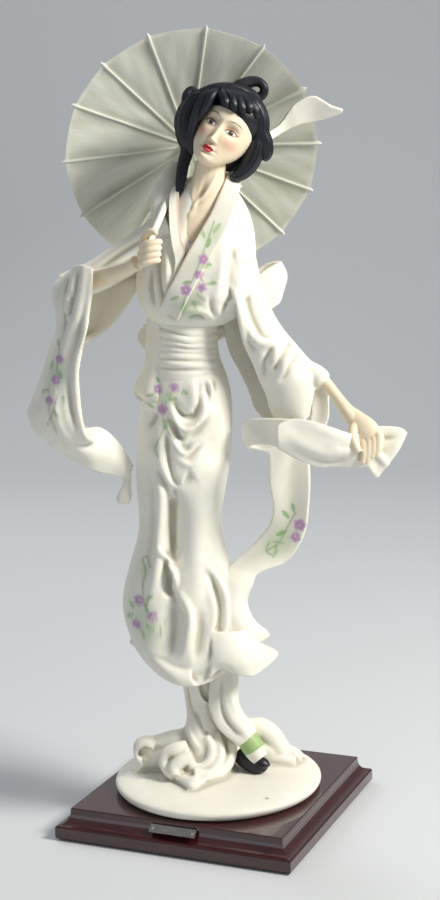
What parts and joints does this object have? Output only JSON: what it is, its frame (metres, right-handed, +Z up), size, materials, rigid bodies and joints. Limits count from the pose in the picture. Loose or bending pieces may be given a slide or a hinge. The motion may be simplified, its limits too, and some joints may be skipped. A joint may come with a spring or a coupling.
{
  "type": "geisha figurine",
  "caption": "Cast resin figurine of a woman in a draped kimono with a ribbed parasol and a long scarf, on a round mound and a square lacquered wooden plinth with a bare nameplate.",
  "frame": {"origin": "centre of the plinth's underside, on the surface it stands on", "axes": "+Z up; -Y is the plinth's front edge with the nameplate; the figure faces about 23 degrees to its left"},
  "size_m": [0.2347, 0.164, 0.5185],
  "materials": {
    "ivory_resin": "matte cold-cast resin, hand painted",
    "painted_skin": "matte skin tint over resin",
    "painted_hair": "satin blue-black paint",
    "painted_strap": "matte green paint",
    "parasol_resin": "matte resin with a grey-green wash",
    "lacquered_wood": "dark mahogany, high gloss lacquer",
    "polished_plate": "polished, bare",
    "pin_metal": "polished",
    "zinc_steel": "zinc plated",
    "felt": "short wool felt"
  },
  "bodies": {
    "root": {"figure": "ivory_resin", "parasol": "parasol_resin", "plinth": "lacquered_wood", "nameplate": "polished_plate", "nameplate_pin_left": "pin_metal", "nameplate_pin_right": "pin_metal", "fixing_screw": "zinc_steel", "fixing_washer": "zinc_steel", "felt_sheet": "felt"}
  },
  "joints": []
}
